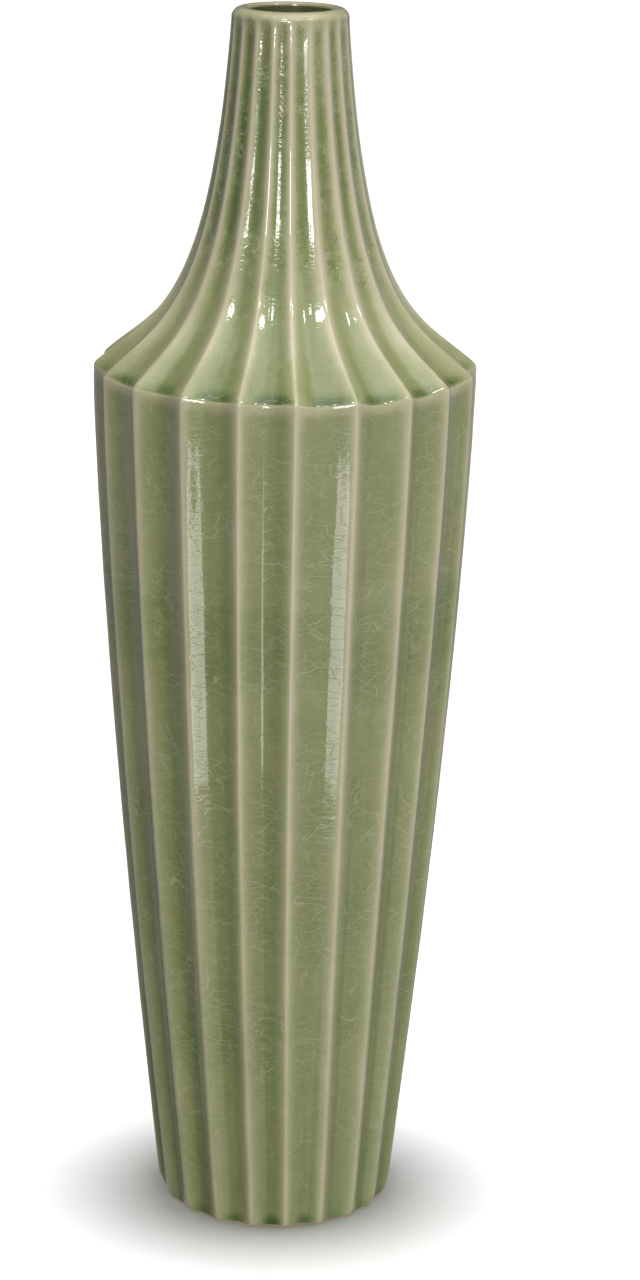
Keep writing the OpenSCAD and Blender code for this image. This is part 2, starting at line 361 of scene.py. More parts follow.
def build(name, strips, masks=()):
    """A closed mesh from strips of rings. A strip is (points, normals or None, values of the masks or
    nothing) and starts on the ring that the one before it ends on. A ring whose points all meet on
    the axis becomes one point. The last strip may end on the first ring."""
    verts, marks, faces, normals = [], [], [], []
    count = 0

    def add_ring(ring, mark):
        nonlocal count
        pole = np.ptp(ring, axis=0).max() < 1e-9
        points = ring[:1] if pole else ring
        index = np.full(len(ring), count) if pole else np.arange(count, count + len(ring))
        verts.append(points)
        marks.append(np.zeros((len(points), len(masks))) if mark is None else mark[:len(points)])
        count += len(points)
        return index, pole

    first_ring, last_ring = strips[0][0][0], strips[-1][0][-1]
    closed = np.allclose(first_ring, last_ring, atol=1e-9) and np.ptp(first_ring, axis=0).max() > 1e-9
    first_index = last_index = None
    for s, (points, given, *mark) in enumerate(strips):
        n = normals_of(points) if given is None else given
        rings = []
        for i, ring in enumerate(points):
            if i == 0 and last_index is not None:
                rings.append(last_index)
            elif closed and s == len(strips) - 1 and i == len(points) - 1:
                rings.append(first_index)
            else:
                rings.append(add_ring(ring, mark[0][i] if mark else None))
        first_index = first_index or rings[0]
        last_index = rings[-1]
        for i in range(len(points) - 1):
            new_faces, new_normals = skirt(rings[i], rings[i + 1], n[i], n[i + 1])
            faces.append(new_faces)
            normals.append(new_normals.reshape(-1, 3))
    mesh = ring_mesh(name, np.concatenate(verts) * MM, faces, np.concatenate(normals))
    for k, mask in enumerate(masks):
        layer = mesh.attributes.new(mask, "FLOAT", "POINT")
        layer.data.foreach_set("value", np.concatenate(marks)[:, k].astype(np.float32))
    if mesh.validate(verbose=False):
        raise RuntimeError(name + " had faulty faces")
    return linked(name, mesh)


EVEN = np.linspace(0, 2 * math.pi, 240, endpoint=False)


def turned(outline, angles=EVEN):
    """Round rings of points for an outline of (radius, height), at these angles."""
    o = np.asarray(outline, float)
    return np.stack([o[:, :1] * np.cos(angles), o[:, :1] * np.sin(angles),
                     np.repeat(o[:, 1:], len(angles), axis=1)], axis=-1)


def straight(a, b, steps):
    """Outline points on a line, with both ends."""
    return [tuple(p) for p in np.linspace(np.array(a, float), np.array(b, float), steps + 1)]


def between(low_ring, high_ring, steps):
    """Rings on straight lines from one ring to another."""
    k = np.linspace(0, 1, steps + 1)[:, None, None]
    return low_ring[None] * (1 - k) + high_ring[None] * k


# ---- Surfaces shared by the pieces ----------------------------------------------------------

FINE = columns_of(24)
COARSE = columns_of(12)
SWELL = 0.09                                # height of the slow unevenness
ROOM = 0.05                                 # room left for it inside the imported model

body_heights = ramp([BARE_H + 0.5, 3, FOOT_H, WAIST_Z, SHOULDER_Z - 6, SHOULDER_Z, EDGE_H - 3.6, EDGE_H],
                    [4, 4, 78, 20, 4, 5, 8])
# Along the neck, short steps near the shoulder edge and the lip
neck_places = ramp([0, 0.045, 0.09, 0.9, 1], [10, 6, 46, 10])

outer_body = body_rows(body_heights)
outer_neck = neck_rows(neck_places)
outer_lip = lip_rows(lip_outline(GLAZE, 12))
edge_row = len(outer_body) - 1
lip_row = edge_row + len(outer_neck) - 1

# The whole outside of the glaze, with its shoulder edge rounded
skin_rows = outer_body + outer_neck[1:] + outer_lip[1:]
skin = soften(fluted(skin_rows, FINE), edge_row - 10, edge_row + 12, 20)
plain = normals_of(skin)
height = skin[..., 2]
calm = smooth_step((height - BARE_H) / 12) * smooth_step((LIP_Z - height) / 40)
skin = skin + plain * (SWELL * swell(skin) * calm - ROOM * calm)[..., None]
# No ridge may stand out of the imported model's box
limit = high("body_glaze", 0) - 0.01
radius = np.hypot(skin[..., 0], skin[..., 1])
skin[..., :2] *= np.minimum(1, limit / radius)[..., None]
skin_normals = normals_of(skin)


# ---- How thick the glaze looks, with painted shade and light: 0 is cream and 1 the darkest green ---

across, flute, angle = FINE
aside = (1 - np.abs(across))[None, :]       # 0 on a ridge and 1 in the middle of a flute
radius = np.hypot(skin[..., 0], skin[..., 1])
from_ridge = aside * math.pi * radius / FLUTES
row_z = np.array([row[1] for row in skin_rows])[:, None]
row_number = np.arange(len(skin_rows))[:, None]
on_neck = row_number > edge_row
fluted_share = np.array([row[4] / max(1e-6, SHARE * row[0]) for row in skin_rows])[:, None]
# Millimetres up the shoulder and neck from the edge, along the surface
neck_steps = np.linalg.norm(np.diff([row[:2] for row in skin_rows[edge_row:]], axis=0), axis=1)
up_neck = np.concatenate([np.zeros(edge_row + 1), np.cumsum(neck_steps)])[:, None]
lower = smooth_step((330 - row_z) / 300)    # 0 at the top of the body and 1 at the foot

# Differences from flute to flute; the pool at the foot is fullest in the front flute
tone = rng.uniform(-1, 1, FLUTES)[flute]
pool_amount = rng.uniform(0.55, 1.0, FLUTES)[flute]
pool_shift = rng.uniform(-0.25, 0.25, FLUTES)[flute]
foot_amount = rng.uniform(0.1, 1.0, FLUTES)[flute]
foot_amount = np.where(flute == FLUTES - 1, 1.0, foot_amount)


def body_thickness_and_shade():
    """Thin on the ridges and thicker in the flutes, and darker lower down as painted shade."""
    rise = 1 - np.exp(-(from_ridge / (2.7 + 0.7 * lower)) ** 1.4)
    # Darker towards the foot, here and below: painted shade for the light that falls off down the body
    most = (0.49 + 0.09 * smooth_step((345 - row_z) / 220)
            + 0.05 * smooth_step((45 - row_z) / 40))
    return rise * most + lower * (0.05 + 0.12 * np.exp(-(from_ridge / 3.6) ** 2))


def shoulder_thickness_and_light():
    """The same on the shoulder, lighter towards the vase's left and right as painted light."""
    on_ridge = 0.03 + 0.20 * (1 - smooth_step((up_neck - 9) / 22))
    # Thinner glaze at the vase's left and right is painted light for the shoulder's sides
    most = 0.70 - 0.27 * np.cos(angle)[None, :] ** 2
    return on_ridge + (most - on_ridge) * (1 - np.exp(-(from_ridge / 4.2) ** 1.2))


def neck_thickness():
    """The same on the neck, lighter near the lip and darker in the flutes on the vase's left."""
    most = 0.62 - 0.12 * smooth_step((row_z - 470) / 30)
    left = smooth_step(-1.3 * np.cos(angle))[None, :]
    return 0.02 + most * smooth_step(aside * 1.05) + 0.16 * left * smooth_step(aside * 1.6)


def pools():
    """Where glaze has run together: along the top of the shoulder edge and at the foot."""
    width = np.clip(1 - (np.abs(across - pool_shift)[None, :] / 0.85) ** 2, 0, 1)
    edge = np.exp(-(np.maximum(up_neck - 2.0, 0) / 3.2) ** 2) * smooth_step(up_neck / 1.6) * width
    foot = np.exp(-((row_z - 2.8) / 2.4) ** 2) * width ** 2 * foot_amount
    return (0.52 * np.where(on_neck, edge * pool_amount, 0)
            + 0.45 * np.where(row_number < edge_row, foot, 0))


def glaze_thickness_and_shade():
    """All of it, with the painted shade and light in its parts, thinner along the shoulder edge and the
    lip's top, with a faint band below the waist joint."""
    neck_share = smooth_step((row_z - 395) / 55)
    thick_and_shade = shoulder_thickness_and_light() * (1 - neck_share) + neck_thickness() * neck_share
    thick_and_shade = np.where(on_neck, thick_and_shade, body_thickness_and_shade())
    below_edge = np.where(on_neck, 1.0, smooth_step((EDGE_H - 1 - row_z) / 6))
    thick_and_shade = thick_and_shade * (0.45 + 0.55 * below_edge)
    below_top = smooth_step((TOTAL_H - 1.0 - row_z) / 6.5)
    thick_and_shade = np.where(on_neck, thick_and_shade * below_top + 0.20 * (1 - below_top), thick_and_shade)
    band = smooth_step((row_z - WAIST_Z + 42) / 16) * smooth_step((WAIST_Z + 1 - row_z) / 6)
    return thick_and_shade + pools() + 0.03 * tone + 0.07 * band


def ridge_cores():
    """The palest line, right on the ridges."""
    strength = np.where(on_neck, smooth_step((row_z - 395) / 30) + 0.25, 1.0 - 0.85 * lower)
    return np.clip(1 - from_ridge / 0.8, 0, 1) * fluted_share * strength


# The names by which the glaze's material reads them; the first is glaze thickness with painted shade and
# light
MASKS = ["thick_and_shade", "core"]
masks = np.stack([glaze_thickness_and_shade(), ridge_cores()], axis=-1)


# ---- The hollow inside ----------------------------------------------------------------------

def hollow_r(z):
    """Radius of the walls' inner face on the body."""
    return float(body_r(z)) * (1 - SHARE) - GLAZE - WALL


def hollow_outline(bottom, top, offset=0.0):
    """Inner face of the walls between two heights, from the bottom up."""
    walls = [(hollow_r(z) - offset, z) for z in ramp([15, SHOULDER_Z], [60])]
    neck = []
    for t in np.linspace(0.02, 0.98, 60):
        (r, z), run = neck_point(t), neck_run(t)
        d = WALL + GLAZE + offset + SHARE * r
        neck.append((r - d * run[1], z + d * run[0]))
    throat = MOUTH_R + GLAZE - offset
    path = walls + [p for p in neck if throat + 0.4 < p[0] < walls[-1][0] - 1
                    and SHOULDER_Z + 1 < p[1] < THROAT_Z - 4]
    path += [(throat, z) for z in ramp([THROAT_Z, TOTAL_H - MOUTH_ROUND], [12])]
    path = np.array(path)
    # Round off the bends under the shoulder and at the throat
    smoothed = path.copy()
    for _ in range(6):
        smoothed[1:-1] = 0.25 * smoothed[:-2] + 0.5 * smoothed[1:-1] + 0.25 * smoothed[2:]
    blend = smooth_step((path[:, 1] - SHOULDER_Z + 6) / 8) * smooth_step((THROAT_Z + 8 - path[:, 1]) / 8)
    path += blend[:, None] * (smoothed - path)
    inside = path[(path[:, 1] > bottom + 0.5) & (path[:, 1] < top - 0.5)]
    first, last = [(float(np.interp(z, path[:, 1], path[:, 0])), z) for z in (bottom, top)]
    return [first] + [tuple(p) for p in inside] + [last]


# ---- Materials ------------------------------------------------------------------------------

class Tree:
    """Short calls for building one material's nodes."""

    def __init__(self, name):
        self.material = bpy.data.materials.new(name)
        self.material.use_nodes = True
        self.tree = self.material.node_tree
        self.shader = next(n for n in self.tree.nodes if n.type == "BSDF_PRINCIPLED")

    def add(self, kind, inputs=(), out=0, **settings):
        node = self.tree.nodes.new(kind)
        for key, value in settings.items():
            setattr(node, key, value)
        for key, value in dict(inputs).items():
            self.put(node.inputs[key], value)
        return node.outputs[out]

    def put(self, socket, value):
        if isinstance(value, bpy.types.NodeSocket):
            self.tree.links.new(value, socket)
        else:
            socket.default_value = value

    def set(self, values):
        """Plain values of the shader."""
        for key, value in values.items():
            self.shader.inputs[key].default_value = value

    def math(self, operation, a, b=0.0, c=0.0):
        return self.add("ShaderNodeMath", {0: a, 1: b, 2: c}, operation=operation)

    def attribute(self, name):
        return self.add("ShaderNodeAttribute", out=2, attribute_name=name)

    def place(self, scale=(1, 1, 1)):
        """Position in millimetres, stretched."""
        where = self.add("ShaderNodeTexCoord", out=3)
        return self.add("ShaderNodeMapping", {"Vector": where, "Scale": [1000 * s for s in scale]})

    def noise(self, where, scale, detail=3.0, rough=0.5):
        return self.add("ShaderNodeTexNoise",
                        {"Vector": where, "Scale": scale, "Detail": detail, "Roughness": rough})

    def linear(self, value, low_value, high_value, to_low=0.0, to_high=1.0, kind="LINEAR"):
        return self.add("ShaderNodeMapRange", {0: value, 1: low_value, 2: high_value, 3: to_low, 4: to_high},
                        interpolation_type=kind)

    def smooth(self, value, low_value, high_value, to_low=0.0, to_high=1.0):
        return self.linear(value, low_value, high_value, to_low, to_high, "SMOOTHSTEP")

    def voronoi(self, where, scale, feature="F1"):
        return self.add("ShaderNodeTexVoronoi", {"Vector": where, "Scale": scale}, feature=feature)

    def mix(self, share, a, b, kind="MIX"):
        node = self.tree.nodes.new("ShaderNodeMix")
        node.data_type = "RGBA"
        node.blend_type = kind
        self.put(node.inputs["Factor"], share)
        self.put(node.inputs[6], a)
        self.put(node.inputs[7], b)
        return node.outputs[2]

    def ramp(self, value, stops):
        node = self.tree.nodes.new("ShaderNodeValToRGB")
        node.color_ramp.interpolation = "LINEAR"
        while len(node.color_ramp.elements) > 1:
            node.color_ramp.elements.remove(node.color_ramp.elements[0])
        for i, (place, colour) in enumerate(stops):
            element = node.color_ramp.elements.new(place) if i else node.color_ramp.elements[0]
            element.position = place
            element.color = (*colour, 1)
        self.put(node.inputs[0], value)
        return node.outputs[0]

    def bump(self, height, strength, distance, normal=None):
        inputs = {"Height": height, "Strength": strength, "Distance": distance * MM}
        if normal is not None:
            inputs["Normal"] = normal
        return self.add("ShaderNodeBump", inputs)


# Glaze colours by thickness
CELADON = [
    (0.00, (0.480, 0.436, 0.300)),
    (0.16, (0.400, 0.380, 0.232)),
    (0.34, (0.280, 0.290, 0.144)),
    (0.52, (0.205, 0.227, 0.094)),
    (0.72, (0.122, 0.156, 0.050)),
    (1.00, (0.046, 0.076, 0.017)),
]
PALE_RIDGE = (0.56, 0.51, 0.38, 1)
PALE_LINE = (0.46, 0.48, 0.32, 1)
DARK_LINE = (0.07, 0.09, 0.035, 1)


def crackle(t, where, height, on_neck, thick_and_shade):
    """Nets of fine lines bent by noise: wide cells on the body and small ones on the neck. They fade
    where the glaze is thin, on the shoulder and towards the foot."""
    bend = t.add("ShaderNodeTexNoise", {"Vector": where, "Scale": 0.07, "Detail": 3.0}, out=1)
    bent = t.add("ShaderNodeVectorMath", {0: t.place((1, 1, 2.5)), 1: t.add(
        "ShaderNodeVectorMath", {0: bend, 3: 7.0}, operation="SCALE")}, operation="ADD")
    wide = t.voronoi(bent, 0.085, "DISTANCE_TO_EDGE")
    small = t.voronoi(bent, 0.21, "DISTANCE_TO_EDGE")
    some = t.smooth(t.noise(where, 0.045, 2.0), 0.36, 0.60)
    wide = t.math("MULTIPLY", t.smooth(wide, 0.0, 0.030, 1.0, 0.0), t.linear(on_neck, 0, 1, 1.0, 0.5))
    small = t.math("MULTIPLY", t.smooth(small, 0.0, 0.085, 1.0, 0.0), t.linear(on_neck, 0, 1, 0.35, 1.0))
    lines = t.math("MULTIPLY", t.math("MAXIMUM", wide, small), t.linear(some, 0, 1, 0.35, 1.0))
    lines = t.math("MULTIPLY", lines, t.smooth(thick_and_shade, 0.12, 0.34))
    on_shoulder = t.math("MULTIPLY", t.smooth(height, EDGE_H - 2, EDGE_H + 3),
                         t.smooth(height, EDGE_H + 50, EDGE_H + 25))
    lines = t.math("MULTIPLY", lines, t.linear(on_shoulder, 0, 1, 1.0, 0.45))
    return t.math("MULTIPLY", lines, t.smooth(height, -40, 120))


def celadon(name, fluted_piece=True):
    """Crackled celadon glaze: cream where it is thin on the ridges, dark green where it pools."""
    t = Tree(name)
    where = t.place()
    cloud = t.noise(where, 0.022, 3.0, 0.55)
    fine = t.noise(where, 0.16, 3.0, 0.6)
    if fluted_piece:
        # The glaze's thickness, with painted shade lower down on the body and painted light on the
        # shoulder's sides
        thick_and_shade = t.attribute("thick_and_shade")
        core = t.attribute("core")
    else:
        thick_and_shade = t.math("ADD", t.linear(fine, 0.0, 1.0, 0.0, 0.05), 0.52)
        core = 0.0
    streaky = t.noise(t.place((1, 1, 0.12)), 0.30, 2.0)
    for pattern, amount in ((cloud, 0.06), (fine, 0.03), (streaky, 0.025)):
        thick_and_shade = t.math("ADD", thick_and_shade, t.linear(pattern, 0.3, 0.7, -amount, amount))
    colour = t.ramp(thick_and_shade, CELADON)
    colour = t.mix(t.math("MULTIPLY", core, 0.5), colour, PALE_RIDGE)
    height = t.add("ShaderNodeSeparateXYZ", {0: where}, out=2)
    on_neck = t.smooth(height, EDGE_H + 12, EDGE_H + 35)
    lines = crackle(t, where, height, on_neck, thick_and_shade)
    # Pale lines on the body, mostly dark ones on the neck
    paler = t.smooth(t.noise(where, 0.12, 1.0), 0.52, 0.60)
    line_tint = t.mix(t.math("MULTIPLY", on_neck, t.math("SUBTRACT", 1.0, paler)), PALE_LINE, DARK_LINE)
    colour = t.mix(t.math("MULTIPLY", lines, t.linear(on_neck, 0, 1, 0.42, 0.50)), colour, line_tint)
    # Pin holes and specks in the glaze
    speck = t.smooth(t.voronoi(where, 0.11), 0.030, 0.050, 1.0, 0.0)
    colour = t.mix(t.math("MULTIPLY", speck, 0.35), colour, (0.12, 0.12, 0.06, 1))
    t.put(t.shader.inputs["Base Color"], colour)
    t.set({"Roughness": 0.42, "IOR": 1.45, "Specular IOR Level": 0.25,
           "Coat Weight": 1.0, "Coat Roughness": 0.035, "Coat IOR": 1.5})
    # A slightly rippled surface, with the crackle's lines cut into it
    peel = t.math("MULTIPLY", t.noise(where, 0.11, 2.0, 0.45), t.linear(on_neck, 0, 1, 1.0, 0.35))
    sway = t.noise(t.place((1, 1, 0.6)), 0.05, 1.0)
    relief = t.bump(peel, 0.30, 0.12)
    relief = t.bump(sway, 0.30, 0.80, relief)
    relief = t.bump(lines, 0.40, -0.05, relief)
    t.put(t.shader.inputs["Normal"], relief)
    t.put(t.shader.inputs["Coat Normal"], relief)
    return t.material


def stoneware(name, colour, dark, turned_marks=True):
    """Unglazed fired clay: sandy grain, iron specks and the marks of the turning tool."""
    t = Tree(name)
    where = t.place()
    grain = t.noise(where, 1.6, 4.0, 0.65)
    patch = t.noise(where, 0.05, 3.0, 0.5)
    light = (colour[0] * 1.25, colour[1] * 1.22, colour[2] * 1.2, 1)
    base = t.mix(t.linear(patch, 0.3, 0.7), (*colour, 1), (*dark, 1))
    base = t.mix(t.linear(grain, 0.35, 0.75, 0.0, 0.35), base, light)
    speck = t.smooth(t.voronoi(where, 0.55), 0.10, 0.20, 1.0, 0.0)
    pick = t.smooth(t.noise(where, 0.6, 1.0), 0.50, 0.60)
    base = t.mix(t.math("MULTIPLY", t.math("MULTIPLY", speck, pick), 0.6), base, (0.16, 0.09, 0.05, 1))
    t.put(t.shader.inputs["Base Color"], base)
    t.put(t.shader.inputs["Roughness"], t.linear(grain, 0.3, 0.7, 0.78, 0.95))
    t.set({"Specular IOR Level": 0.3})
    relief = t.bump(grain, 0.6, 0.12)
    if turned_marks:
        parts = t.add("ShaderNodeSeparateXYZ", {0: where}).node
        x, y = parts.outputs[0], parts.outputs[1]
        r = t.math("POWER", t.math("ADD", t.math("MULTIPLY", x, x), t.math("MULTIPLY", y, y)), 0.5)
        rings = t.math("SINE", t.math("MULTIPLY_ADD", r, 3.6, t.math("MULTIPLY", patch, 3.0)))
        relief = t.bump(rings, 0.35, 0.10, relief)
    t.put(t.shader.inputs["Normal"], relief)
    return t.material


glaze_out = celadon("celadon_glaze")
glaze_in = celadon("celadon_inner", fluted_piece=False)
clay_bare = stoneware("stoneware_clay", (0.56, 0.43, 0.29), (0.47, 0.35, 0.22))
slip_bare = stoneware("slip_clay", (0.62, 0.51, 0.37), (0.54, 0.43, 0.30), turned_marks=False)


# ---- Pieces ---------------------------------------------------------------------------------

def finish_piece(obj, node, material):
    """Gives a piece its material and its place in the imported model."""
    obj.data.materials.append(material)
    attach(obj, "root")
    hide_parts(node)
    return obj


# Back of the outer glaze, where it meets the clay
back_body = fluted(body_rows(ramp([BARE_H, 6, 60, EDGE_H - 14, EDGE_H - 4, EDGE_H], [3, 6, 26, 4, 4])),
                   FINE, GLAZE)
back_neck = fluted(neck_rows(ramp([0, 0.05, 0.12, 0.9, 1], [3, 3, 24, 4])), FINE, GLAZE)
joint_row = len(back_body) - 1
back = soften(np.concatenate([back_body, back_neck[1:]]), joint_row - 3, joint_row + 3, 2)
no_mark = np.zeros(masks.shape[1:])


def unmarked(rings):
    """Masks for rings that carry none."""
    return np.zeros((len(rings),) + no_mark.shape)


# Glaze on the body: rolled under at its bottom edge, then the skin up to the shoulder edge
roll = []
for turn in np.linspace(0, math.pi / 2, 6):
    out = math.sin(turn)
    ring = back[0] * (1 - out) + skin[0] * out
    ring[:, 2] = BARE_H + 0.5 * (1 - math.cos(turn))
    roll.append(ring)
roll = np.array(roll)
roll[-1] = skin[0]
roll_normals = normals_of(np.concatenate([roll, skin[1:2]]))[:len(roll)]
roll_normals[-1] = skin_normals[0]

body = build("body_glaze_coat", [
    (roll, roll_normals, np.repeat(masks[:1], len(roll), axis=0)),
    (skin[:edge_row + 1], skin_normals[:edge_row + 1], masks[:edge_row + 1]),
    (between(skin[edge_row], back[joint_row], 1), None, np.stack([masks[edge_row], no_mark])),
    (back[joint_row::-1], None, unmarked(back[:joint_row + 1])),
], MASKS)
finish_piece(body, "body_glaze", glaze_out)

# Glaze on the shoulder and neck
neck = build("neck_glaze_coat", [
    (skin[edge_row:lip_row + 1], skin_normals[edge_row:lip_row + 1], masks[edge_row:lip_row + 1]),
    (between(skin[lip_row], back[-1], 1), None, np.stack([masks[lip_row], no_mark])),
    (back[joint_row:][::-1], None, unmarked(back[joint_row:])),
    (between(back[joint_row], skin[edge_row], 1), None, np.stack([no_mark, masks[edge_row]])),
], MASKS)
finish_piece(neck, "neck_glaze", glaze_out)

# Glaze over the lip, ending inside the mouth
lip_back = fluted(lip_rows(lip_outline(0.0, 10)), FINE)
lip_back[0] = back[-1]
lip = build("lip_glaze_coat", [
    (skin[lip_row:], skin_normals[lip_row:], masks[lip_row:]),
    (between(skin[-1], lip_back[-1], 1), None, np.stack([masks[-1], no_mark])),
    (lip_back[::-1], None, unmarked(lip_back)),
    (between(lip_back[0], skin[lip_row], 1), None, np.stack([no_mark, masks[lip_row]])),
], MASKS)
finish_piece(lip, "lip_glaze", glaze_out)

# Glaze inside: floor, walls and throat
mouth_z = TOTAL_H - MOUTH_ROUND
corner_z = FLOOR_TOP + CORNER
corner_r = hollow_r(FOOT_H + CORNER)
floor_r = corner_r - CORNER
clay_side = hollow_outline(corner_z, mouth_z)
glaze_side = hollow_outline(corner_z, mouth_z, GLAZE)
clay_side[0] = (corner_r, corner_z)
glaze_side[0] = (corner_r - GLAZE, corner_z)
floor_side = straight((0, FLOOR_TOP), (floor_r, FLOOR_TOP), 8)
floor_face = straight((floor_r - GLAZE, FLOOR_TOP + GLAZE), (0, FLOOR_TOP + GLAZE), 8)
corner_face = [(corner_r - GLAZE - CORNER * (1 - math.cos(a)), corner_z - (CORNER - GLAZE) * math.sin(a))
               for a in np.linspace(0, math.pi / 2, 9)]
inner_outline = [floor_side, [floor_side[-1], clay_side[0]], clay_side, [clay_side[-1], glaze_side[-1]],
                 glaze_side[::-1] + corner_face[1:-1] + floor_face]
inner = build("inner_glaze_coat", [(turned(part, COARSE.angle), None) for part in inner_outline])
finish_piece(inner, "inner_glaze", glaze_in)

# Foot ring: fluted outside under the glaze, a small chamfer below it, bare on the resting face and
# in the recess
CHAMFER_LOW, CHAMFER_HIGH = 3.0, 1.4        # how far in the chamfer starts and ends
foot_outer = np.concatenate([
    fluted(body_rows([0.0]), FINE, CHAMFER_LOW), fluted(body_rows([0.5]), FINE, CHAMFER_HIGH),
    fluted(body_rows([0.62, *ramp([BARE_H, FOOT_H], [5])]), FINE, GLAZE)])
rest_edge = turned([(RECESS_R + RIM, 0)], FINE.angle)[0]
foot_outline = [
    straight((SEAT_R, FOOT_H), (SEAT_R, RECESS_H), 3),
    straight((SEAT_R, RECESS_H), (RECESS_R, RECESS_H), 2),
    straight((RECESS_R, RECESS_H), (RECESS_R, RIM), 4) + arc((RECESS_R + RIM, RIM), RIM, 180, 270, 5)[1:],
]
foot = build("foot_ring_clay", [
    (between(rest_edge, foot_outer[0], 6), None),
    (foot_outer, None),
    (between(foot_outer[-1], turned([(SEAT_R, FOOT_H)], FINE.angle)[0], 2), None),
    *[(turned(part, FINE.angle), None) for part in foot_outline],
])
finish_piece(foot, "foot_ring", clay_bare)

# Floor disc, a little hollow underneath
SAG = 0.35
disc_z = RECESS_H + SLIP_T
disc_bottom = [(r, disc_z + SAG * math.cos(0.5 * math.pi * min(1, r / RECESS_R)) ** 2)
               for r in np.linspace(0, FLOOR_R, 26)]
disc_outline = [disc_bottom, [disc_bottom[-1], (FLOOR_R, FLOOR_TOP)],
                straight((FLOOR_R, FLOOR_TOP), (0, FLOOR_TOP), 4)]
disc = build("floor_disc_clay", [(turned(part), None) for part in disc_outline])
finish_piece(disc, "floor_disc", clay_bare)

# Slip under and around the floor, squeezed out a little in the recess
BEAD = 0.35
bead = [(RECESS_R - BEAD * math.sin(a), RECESS_H + SLIP_T * (0.5 + 0.5 * math.cos(a)))
        for a in np.linspace(0, math.pi, 7)[1:-1]]
slip_outline = [
    straight((RECESS_R, RECESS_H), (SEAT_R, RECESS_H), 2),
    straight((SEAT_R, RECESS_H), (SEAT_R, FOOT_H), 2),
    straight((SEAT_R, FOOT_H), (corner_r, FOOT_H), 1),
    straight((corner_r, FOOT_H), (corner_r, corner_z), 2),
    [(corner_r, corner_z), (floor_r, FLOOR_TOP)],
    straight((floor_r, FLOOR_TOP), (FLOOR_R, FLOOR_TOP), 1),
    straight((FLOOR_R, FLOOR_TOP), (FLOOR_R, disc_z), 3),
    straight((FLOOR_R, disc_z), (RECESS_R, disc_z), 2),
    [(RECESS_R, disc_z), *bead, (RECESS_R, RECESS_H)],
]
slip = build("floor_slip_seam", [(turned(part), None) for part in slip_outline])
finish_piece(slip, "floor_slip", slip_bare)


# Clay walls under the glaze
def wall(node, name, outer_points, outline):
    """A wall section: its fluted outside, then its stepped ends and inner face as one outline."""
    top = turned([outline[0][0]], COARSE.angle)[0]
    bottom = turned([outline[-1][-1]], COARSE.angle)[0]
    strips = [(outer_points, None), (between(outer_points[-1], top, 2), None)]
    strips += [(turned(part, COARSE.angle), None) for part in outline]
    strips.append((between(bottom, outer_points[0], 2), None))
    return finish_piece(build(name, strips), node, clay_bare)


def step_r(z):
    """Radius of the step in a lap joint, half way through the wall."""
    return hollow_r(z) + WALL / 2


waist_step = step_r(WAIST_Z)
shoulder_step = step_r(SHOULDER_Z)
waist_seat = WAIST_Z - LAP_L
wall("lower_wall", "lower_wall_clay", fluted(body_rows(ramp([FOOT_H, WAIST_Z], [56])), COARSE, GLAZE), [
    [(waist_step, WAIST_Z), (waist_step, waist_seat)],
    [(waist_step, waist_seat), (hollow_r(waist_seat), waist_seat)],
    hollow_outline(corner_z, waist_seat)[::-1][:-1] + [(corner_r, corner_z)],
    [(corner_r, corner_z), (corner_r, FOOT_H)],
])


def section(node, name, outside, z_low, step_low, z_high, step_high, depth_high):
    """A wall section with a step in its top and a tongue below."""
    tip = z_low - LAP_L + SLIP_T
    seat = z_high - depth_high
    face = hollow_outline(tip, seat)[::-1]
    return wall(node, name, outside, [
        [(step_high, z_high), (step_high, seat)],
        [(step_high, seat), face[0]],
        face,
        [face[-1], (step_low - SLIP_T, tip)],
        [(step_low - SLIP_T, tip), (step_low - SLIP_T, z_low)],
    ])


section("upper_wall", "upper_wall_clay",
        fluted(body_rows(ramp([WAIST_Z, SHOULDER_Z], [18])), COARSE, GLAZE),
        WAIST_Z, waist_step, SHOULDER_Z, shoulder_step, LAP_L)

coarse_low = fluted(body_rows(ramp([SHOULDER_Z, EDGE_H], [8])), COARSE, GLAZE)
coarse_neck = fluted(neck_rows(ramp([0, 0.06, 1], [6, 50])), COARSE, GLAZE)
section("shoulder_neck", "shoulder_neck_clay",
        soften(np.concatenate([coarse_low, coarse_neck[1:]]), 3, 13, 6),
        SHOULDER_Z, shoulder_step, LIP_Z, STEP_R, LIP_LAP)

# Lip ring, with a tongue inside the neck
bore = MOUTH_R + GLAZE
lip_tip = LIP_Z - LIP_LAP + SLIP_T
lip_outer = fluted(lip_rows(lip_outline(0.0, 10)), COARSE)
tongue_r = STEP_R - SLIP_T
tongue_outline = [straight((bore, mouth_z), (bore, lip_tip), 5), [(bore, lip_tip), (tongue_r, lip_tip)],
                  [(tongue_r, lip_tip), (tongue_r, LIP_Z)]]
lip_clay = build("lip_ring_clay", [
    (lip_outer, None),
    *[(turned(part, COARSE.angle), None) for part in tongue_outline],
    (between(turned([(tongue_r, LIP_Z)], COARSE.angle)[0], lip_outer[0], 2), None),
])
finish_piece(lip_clay, "lip_ring", clay_bare)


def lap_slip(node, name, z, r, depth):
    """Slip around and under a tongue, out to the inner face of the wall or the throat."""
    seat, tip = z - depth, z - depth + SLIP_T
    seat_r, tip_r = [bore if h > THROAT_Z else hollow_r(h) for h in (seat, tip)]
    paths = [
        [(seat_r, seat), (r, seat)], [(r, seat), (r, z)], [(r, z), (r - SLIP_T, z)],
        [(r - SLIP_T, z), (r - SLIP_T, tip)], [(r - SLIP_T, tip), (tip_r, tip)],
        [(tip_r, tip), (seat_r, seat)],
    ]
    seam = build(name, [(turned(straight(*path, 3)), None) for path in paths])
    return finish_piece(seam, node, slip_bare)


lap_slip("waist_slip", "waist_slip_seam", WAIST_Z, waist_step, LAP_L)
lap_slip("shoulder_slip", "shoulder_slip_seam", SHOULDER_Z, shoulder_step, LAP_L)
lap_slip("lip_slip", "lip_slip_seam", LIP_Z, STEP_R, LIP_LAP)


# ---- Floor, lights and camera ---------------------------------------------------------------

AMBIENT = 0.12


